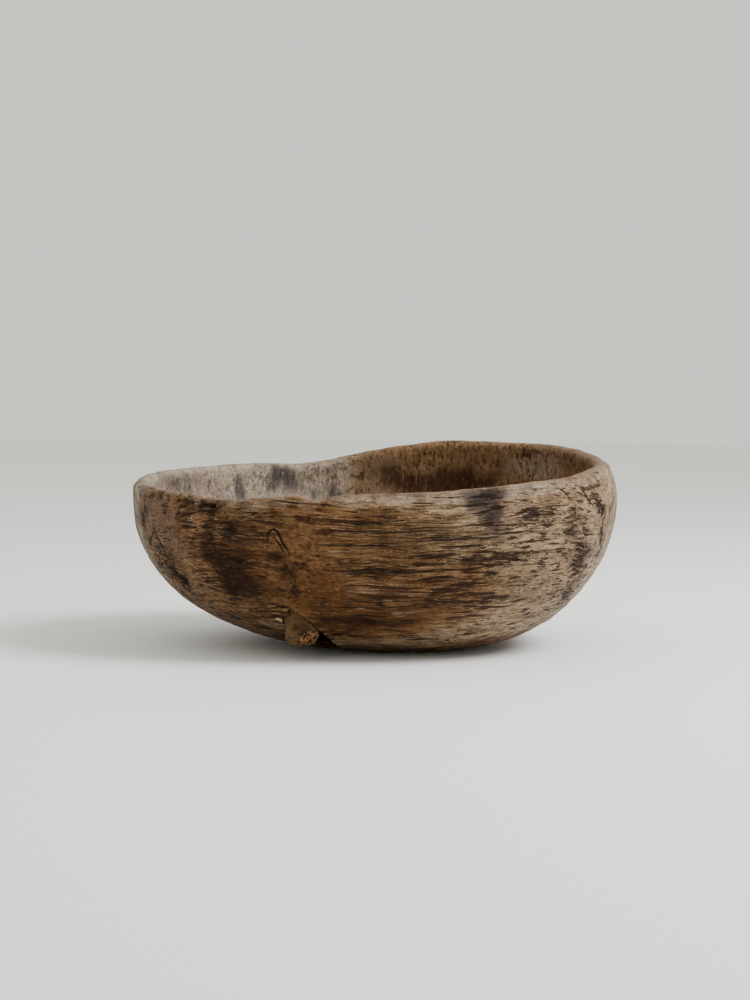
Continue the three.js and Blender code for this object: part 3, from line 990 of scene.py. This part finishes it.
def inside_colour(m, place, flow, bowl):
    """The hollow: bleached at one end, brown at the other. Returns its colour and its relief."""
    def both(low, scale, detail, roughness):
        """Noise drawn out upright on the walls and along the bowl on its floor."""
        upright = grain(m, flow, (1, 1, low), scale, detail, roughness)
        level = grain(m, flow, (low, 1, 1), scale, detail, roughness)
        return mix(m, bowl["floor"], upright, level)

    tools = both(0.3, 240.0, 5.0, 0.65)
    scratches = both(0.05, 700.0, 2.0, 0.5)
    mottle = grain(m, place, (0.8, 1, 0.7), 150.0, 8.0, 0.7)
    clouds = grain(m, place, (1, 1, 1), 34.0, 6.0, 0.65)
    specks = grain(m, place, (1, 1, 0.6), 600.0, 3.0, 0.7)
    grit = grain(m, place, (1, 1, 0.7), 330.0, 4.0, 0.7)
    bloom = grain(m, place, (1, 1, 1), 24.0, 4.0, 0.6)

    tone = ramp(m, add(m, (tools, 0.25), (mottle, 0.25), (clouds, 0.2), (grit, 0.3)), 0.4, 0.6)
    brown = blend(m, tone, "3a2313", "a08060")
    tone = ramp(m, add(m, (mottle, 0.35), (clouds, 0.25), (grit, 0.4)), 0.42, 0.58)
    bleached = blend(m, tone, "716558", "c2b4a4")
    bleach = ramp(m, add(m, (bowl["pale"], 1.0), (mottle, 0.5), (clouds, 0.3)), 0.6, 1.35)
    base = blend(m, bleach, brown, bleached)

    # Purple-grey bloom on the bleached wood, dark blots, and duller patches everywhere.
    bloom = times(m, bleach, ramp(m, add(m, (bloom, 1.0), (mottle, 0.3)), 0.64, 0.74, 0.0, 0.7))
    base = tint(m, bloom, base, (0.62, 0.57, 0.58, 1))
    blots = add(m, (bowl["stains"], 0.66), (clouds, 0.5), (mottle, 0.9), (tools, 0.35), (grit, 0.5))
    dye = blend(m, bleach, (0.24, 0.18, 0.14, 1), (0.24, 0.25, 0.3, 1))
    base = tint(m, ramp(m, blots, 1.34, 1.68), base, dye)
    dusky = ramp(m, add(m, (clouds, 0.8), (mottle, 0.4), (grit, 0.2)), 0.69, 0.78, 0.0, 0.75)
    base = tint(m, dusky, base, (0.66, 0.63, 0.58, 1))

    # Light scratches and dark flecks.
    scratch = ramp(m, add(m, (scratches, 0.7), (specks, 0.3)), 0.58, 0.68, 0.0, 0.3)
    base = blend(m, scratch, base, blend(m, bleach, "b09a78", "d6cabb"))
    fleck = ramp(m, add(m, (specks, 0.6), (mottle, 0.4)), 0.44, 0.36, 0.0, 0.7)
    base = blend(m, times(m, fleck, ramp(m, bleach, 0.0, 1.0, 1.0, 0.7)), base, "2a1d14")
    return base, add(m, (tools, 0.5), (mottle, 0.5), (specks, 0.4))


# The marks that the bowl's material reads besides its cracks.
BOWL_MARKS = (
    "streaks", "stains", "char", "veil", "ruddy", "damp", "pale",
    "ends", "inside", "floor", "rim", "dent_darkening", "cleft", "tuft",
)


def bowl_wood():
    m = new_material("bowl_wood")
    bowl = {name: attribute(m, name) for name in BOWL_MARKS}
    place, flow, turned = wood_coordinates(m)
    outer, outer_relief, torn = outside_colour(m, place, flow, turned, bowl)
    inner, inner_relief = inside_colour(m, place, flow, bowl)
    base = blend(m, bowl["inside"], outer, inner)
    relief = mix(m, bowl["inside"], outer_relief, inner_relief)

    dust = ramp(m, grain(m, place, (0.5, 1, 1), 1100.0, 2.0, 0.6), 0.58, 0.4, 0.0, 0.55)
    base = tint(m, dust, base, (0.58, 0.5, 0.4, 1))
    # Darker in the dents: the gouges, the pits and the chops in the rim.
    base = blend(m, times(m, bowl["dent_darkening"], 0.6), base, "1a1009")
    # Painted shade: the cleft beside the knot turns near black.
    base = blend(m, times(m, bowl["cleft"], 0.985), base, "080402")

    patches = grain(m, place, (1, 1, 1), 90.0, 5.0, 0.65)
    wobble = times(m, add(m, (patches, 1.0), (0.5, -1.0)), 1.6)
    across = maths(m, "ABSOLUTE", add(m, (attribute(m, "crack_across"), 1.0), (wobble, 1.0)))
    crack = times(m, ramp(m, across, 1.4, 0.7), ramp(m, attribute(m, "crack_near"), 0.1, 1.0))
    base = blend(m, crack, base, "0c0705")

    satin = add(m, (bowl["inside"], 0.12), (bowl["rim"], -0.12), (0.34, 1.0))
    roughness = add(m, (patches, 0.3), (torn, 0.2), (satin, 1.0))
    normal = bumps(m, add(m, (relief, 1.0), (crack, -1.2)), 1.0, 0.0016)
    finish_material(m, base, roughness, 0.07, normal)
    return m


def knot_wood():
    m = new_material("knot_wood")
    place = node(m, "ShaderNodeTexCoord").outputs["Object"]
    open_end = attribute(m, "open_end")
    bark = grain(m, place, (1, 1, 0.6), 420.0, 4.0, 0.6)
    mottle = grain(m, place, (1, 1, 1), 130.0, 6.0, 0.65)
    clouds = grain(m, place, (1, 1, 1), 50.0, 2.0, 0.5)
    tone = ramp(m, add(m, (bark, 0.3), (mottle, 0.35), (clouds, 0.35)), 0.36, 0.64)
    base = blend(m, tone, "2a1808", "684f2f")

    # The ends: growth rings round a dark pith, and torn fibres on the broken one, tan on the splinters
    # and near black between them as painted shade where the face lies deeper.
    rings = maths(m, "SINE", add(m, (attribute(m, "reach"), 34.0), (mottle, 8.0)))
    endwood = blend(m, ramp(m, rings, -0.9, 0.9), "3b2413", "a07c4e")
    base = blend(m, open_end, base, endwood)
    pith = ramp(m, add(m, (attribute(m, "reach"), 1.0), (mottle, 0.3)), 0.36, 0.26)
    base = blend(m, times(m, pith, open_end), base, "0c0705")
    light = add(m, (attribute(m, "splinter"), 1.0), (bark, 0.9), (mottle, 0.8))
    # Near black in the crevices between the splinters: painted shade.
    torn = blend(m, ramp(m, light, 0.95, 1.75), "0c0502", "855f3a")
    base = blend(m, attribute(m, "broken"), base, torn)
    normal = bumps(m, add(m, (bark, 0.6), (mottle, 0.6)), 0.7, 0.001)
    finish_material(m, base, 0.65, 0.15, normal)
    return m


# ---------------- floor, light and camera
LAMP_PLACE = (1.9, -0.5, 2.0)
LAMP_SIZE = 1.4
LAMP_POWER = 108
LAMP_COLOUR = (0.98, 0.99, 1.0)
LAMP_AIM = (0, 0, 0.1)
SKY_COLOUR = (0.72, 0.72, 0.67, 1)
SKY_STRENGTH = 1.35
FLOOR_RADIUS = 9
FLOOR_COLOUR = (0.92, 0.92, 0.91, 1)

# The camera looks level along +Y and a little down, turned by a hair from upright.
CAMERA_PLACE = (0, -2.17, 0.2512)
CAMERA_LENS = 77.4
CAMERA_DIP = 2.86
CAMERA_ROLL = 0.53


def stage_floor():
    bpy.ops.mesh.primitive_circle_add(vertices=96, radius=FLOOR_RADIUS, fill_type="NGON")
    floor = bpy.context.object
    floor.name = "floor"
    m = new_material("floor_pale")
    finish_material(m, FLOOR_COLOUR, 0.6, 0.5)
    floor.data.materials.append(m)


def soft_light():
    """One wide lamp like a window, at the right and above, in an evenly lit room."""
    data = bpy.data.lights.new("window", "AREA")
    data.shape = "DISK"
    data.size = LAMP_SIZE
    data.energy = LAMP_POWER
    data.color = LAMP_COLOUR
    light = link_object("window", data)
    light.location = LAMP_PLACE
    light.rotation_euler = (Vector(LAMP_AIM) - Vector(LAMP_PLACE)).to_track_quat("-Z", "Y").to_euler()
    world = bpy.data.worlds.new("studio")
    world.use_nodes = True
    sky = world.node_tree.nodes["Background"]
    sky.inputs["Color"].default_value = SKY_COLOUR
    sky.inputs["Strength"].default_value = SKY_STRENGTH
    bpy.context.scene.world = world


def studio_camera():
    data = bpy.data.cameras.new("camera")
    data.lens = CAMERA_LENS
    data.sensor_width = 36
    camera = link_object("camera", data)
    tilt = Matrix.Rotation(np.radians(90 - CAMERA_DIP), 4, "X")
    roll = Matrix.Rotation(np.radians(CAMERA_ROLL), 4, "Z")
    camera.matrix_world = Matrix.Translation(CAMERA_PLACE) @ tilt @ roll
    bpy.context.scene.camera = camera


# ---------------- the object
bowl = carved_bowl()
open_socket(bowl)
bowl.data.materials.append(bowl_wood())
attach(bowl, "root")
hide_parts("bowl_shell")

stub = knot()
stub.data.materials.append(knot_wood())
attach(stub, "root")
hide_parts("knot_peg")

stage_floor()
soft_light()
studio_camera()
